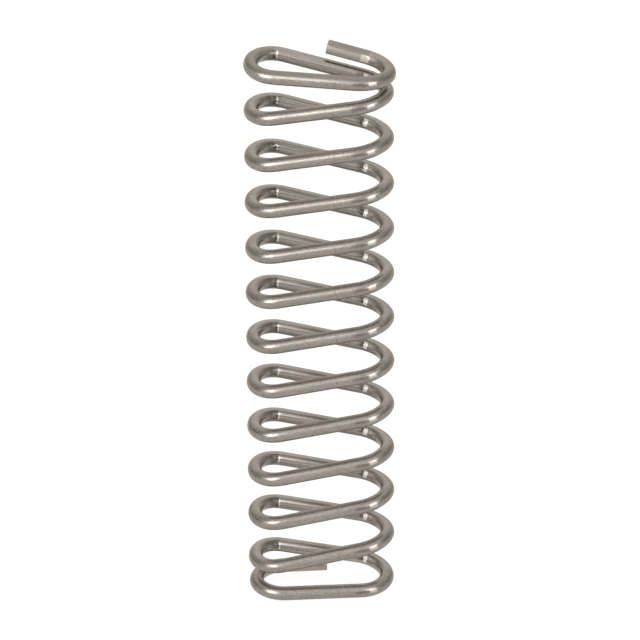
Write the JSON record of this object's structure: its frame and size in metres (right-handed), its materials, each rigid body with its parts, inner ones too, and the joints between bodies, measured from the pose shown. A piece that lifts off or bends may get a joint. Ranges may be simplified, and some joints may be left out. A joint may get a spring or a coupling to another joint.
{
  "type": "oval compression spring",
  "caption": "Long compression spring wound from round steel wire on an oval plan, with closed square-cut ends, that pushes back when squeezed along its axis",
  "frame": {"origin": "centre of the footprint, on the plane the lower end turn rests on", "axes": "+Z along the spring, +X along the long sides of the middle turn, +Y to the side that has the cut ends"},
  "size_m": [0.021, 0.0114, 0.084],
  "materials": {
    "spring_steel": "dull drawn stainless wire"
  },
  "bodies": {
    "root": {"spring_wire": "spring_steel"}
  },
  "joints": []
}
